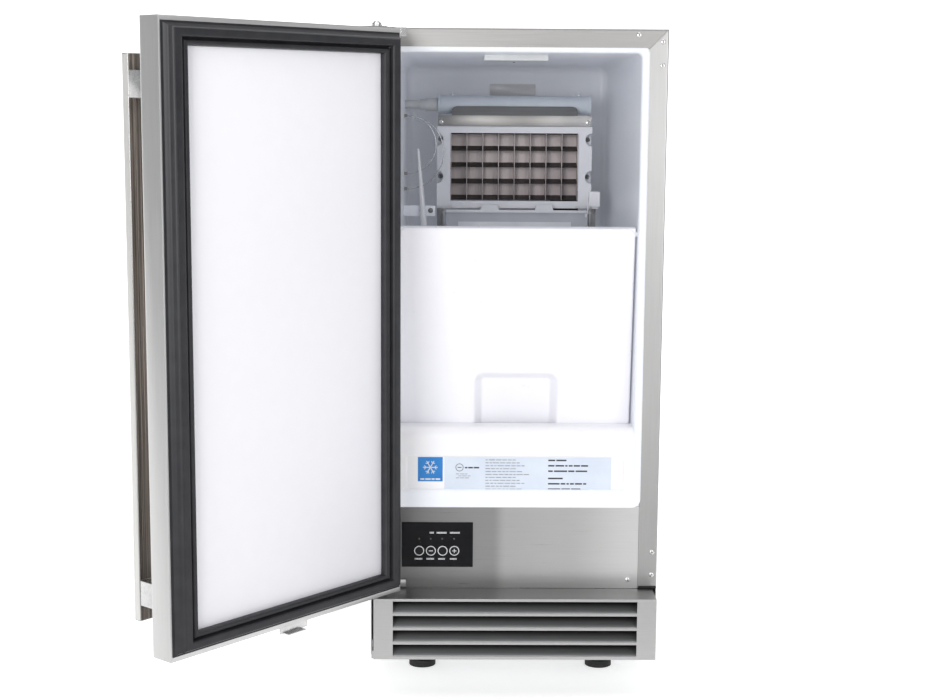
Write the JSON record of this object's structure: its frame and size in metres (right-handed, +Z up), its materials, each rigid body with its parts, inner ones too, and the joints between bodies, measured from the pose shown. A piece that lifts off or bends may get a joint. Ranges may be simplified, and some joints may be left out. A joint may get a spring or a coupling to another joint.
{
  "type": "built-in ice maker",
  "caption": "Built-in clear ice maker with hinged door, bin cover, vertical evaporator, water circuit, compressor, louvred plinth and levelling feet.",
  "frame": {"origin": "on the floor at the centre of the four levelling feet", "axes": "+Z up, front of the cabinet towards -Y, +X to the right seen from the front"},
  "size_m": [0.627, 0.9112, 0.855],
  "materials": {
    "stainless_face": "brushed",
    "stainless_door": "brushed",
    "zinc_sheet": "satin",
    "louvre_steel": "satin",
    "board_green": "matte",
    "display_black": "gloss",
    "white_plastic": "satin",
    "insulation": "matte",
    "label_grey": "matte",
    "label_blue": "satin",
    "lamp_lens": "satin",
    "clear_grey_plastic": "satin",
    "bright_steel": "satin",
    "nickel_plate": "satin",
    "pale_plastic": "satin",
    "copper": "satin",
    "black_plastic": "matte",
    "grey_plastic": "matte",
    "flap_plastic": "satin",
    "bracket_grey": "satin",
    "thin_steel": "satin",
    "compressor_black": "gloss",
    "condenser_fins": "satin",
    "screw_steel": "satin",
    "foot_rubber": "matte",
    "gasket_rubber": "matte",
    "handle_steel": "polished"
  },
  "bodies": {
    "cabinet": {"side_panel_left": "stainless_face", "side_panel_right": "stainless_face", "top_panel": "stainless_face", "back_panel": "zinc_sheet", "base_pan": "zinc_sheet", "kick_plate": "stainless_face", "kick_louvres": "louvre_steel", "control_panel": "stainless_face", "control_board": "board_green", "display_window": "display_black", "liner": "white_plastic", "cabinet_foam": "insulation", "rating_label": "label_grey", "blue_label": "label_blue", "ceiling_lamp": "lamp_lens", "sensor_cover": "white_plastic", "distributor_tube": "clear_grey_plastic", "distributor_cover": "bright_steel", "water_supply_fitting": "clear_grey_plastic", "evaporator_grid": "nickel_plate", "evaporator_shroud": "pale_plastic", "evaporator_coil": "copper", "water_trough": "white_plastic", "pump_motor": "black_plastic", "flap_brackets": "bracket_grey", "bin_switch": "white_plastic", "capillary_tubes": "thin_steel", "capillary_clips": "bright_steel", "sensor_well": "white_plastic", "compressor": "compressor_black", "condenser": "condenser_fins", "fan_bracket": "black_plastic", "fan_motor": "black_plastic", "refrigerant_lines": "copper", "inlet_valve": "grey_plastic", "drain_fitting": "black_plastic", "power_inlet": "black_plastic", "hinge_bracket_top": "bright_steel", "hinge_bracket_bottom": "bright_steel", "screws": "screw_steel"},
    "door": {"door_skin": "stainless_door", "door_foam": "insulation", "door_liner": "white_plastic", "door_gasket": "gasket_rubber", "door_hinge_plates": "bright_steel", "handle_bar": "handle_steel", "handle_posts": "handle_steel", "door_tab": "bright_steel"},
    "bin_cover": {"bin_cover": "white_plastic"},
    "splash_flap": {"splash_flap": "flap_plastic"},
    "pump_impeller": {"pump_impeller": "grey_plastic"},
    "fan_blade": {"fan_blade": "grey_plastic"},
    "button_power": {"button_power": "display_black"},
    "button_minus": {"button_minus": "display_black"},
    "button_clean": {"button_clean": "display_black"},
    "button_plus": {"button_plus": "display_black"},
    "foot_front_left": {"foot_front_left": "foot_rubber"},
    "foot_front_right": {"foot_front_right": "foot_rubber"},
    "foot_rear_left": {"foot_rear_left": "foot_rubber"},
    "foot_rear_right": {"foot_rear_right": "foot_rubber"}
  },
  "joints": [
    {"name": "door_hinge", "type": "hinge", "parent": "cabinet", "child": "door", "pos_m": [-0.1754, -0.3352, 0.5], "axis": [0, 0, 1], "range_deg": [0, 131.2]},
    {"name": "bin_cover_hinge", "type": "hinge", "parent": "cabinet", "child": "bin_cover", "pos_m": [0, -0.276, 0.594], "axis": [1, 0, 0], "range_deg": [0, 70]},
    {"name": "splash_flap_hinge", "type": "hinge", "parent": "cabinet", "child": "splash_flap", "pos_m": [0.0108, 0.001, 0.603], "axis": [-1, 0, 0], "range_deg": [0, 22]},
    {"name": "pump_spin", "type": "hinge", "parent": "cabinet", "child": "pump_impeller", "pos_m": [0.085, 0.088, 0.58], "axis": [0, 0, 1], "continuous": true},
    {"name": "fan_spin", "type": "hinge", "parent": "cabinet", "child": "fan_blade", "pos_m": [-0.082, -0.18, 0.133], "axis": [0, 1, 0], "continuous": true},
    {"name": "button_power_press", "type": "slide", "parent": "cabinet", "child": "button_power", "axis": [0, 1, 0], "range_m": [0, 0.0008], "stiffness_N_per_m": 600},
    {"name": "button_minus_press", "type": "slide", "parent": "cabinet", "child": "button_minus", "axis": [0, 1, 0], "range_m": [0, 0.0008], "stiffness_N_per_m": 600},
    {"name": "button_clean_press", "type": "slide", "parent": "cabinet", "child": "button_clean", "axis": [0, 1, 0], "range_m": [0, 0.0008], "stiffness_N_per_m": 600},
    {"name": "button_plus_press", "type": "slide", "parent": "cabinet", "child": "button_plus", "axis": [0, 1, 0], "range_m": [0, 0.0008], "stiffness_N_per_m": 600},
    {"name": "foot_front_left_screw", "type": "slide", "parent": "cabinet", "child": "foot_front_left", "axis": [0, 0, -1], "range_m": [0, 0.02]},
    {"name": "foot_front_right_screw", "type": "slide", "parent": "cabinet", "child": "foot_front_right", "axis": [0, 0, -1], "range_m": [0, 0.02]},
    {"name": "foot_rear_left_screw", "type": "slide", "parent": "cabinet", "child": "foot_rear_left", "axis": [0, 0, -1], "range_m": [0, 0.02]},
    {"name": "foot_rear_right_screw", "type": "slide", "parent": "cabinet", "child": "foot_rear_right", "axis": [0, 0, -1], "range_m": [0, 0.02]}
  ]
}
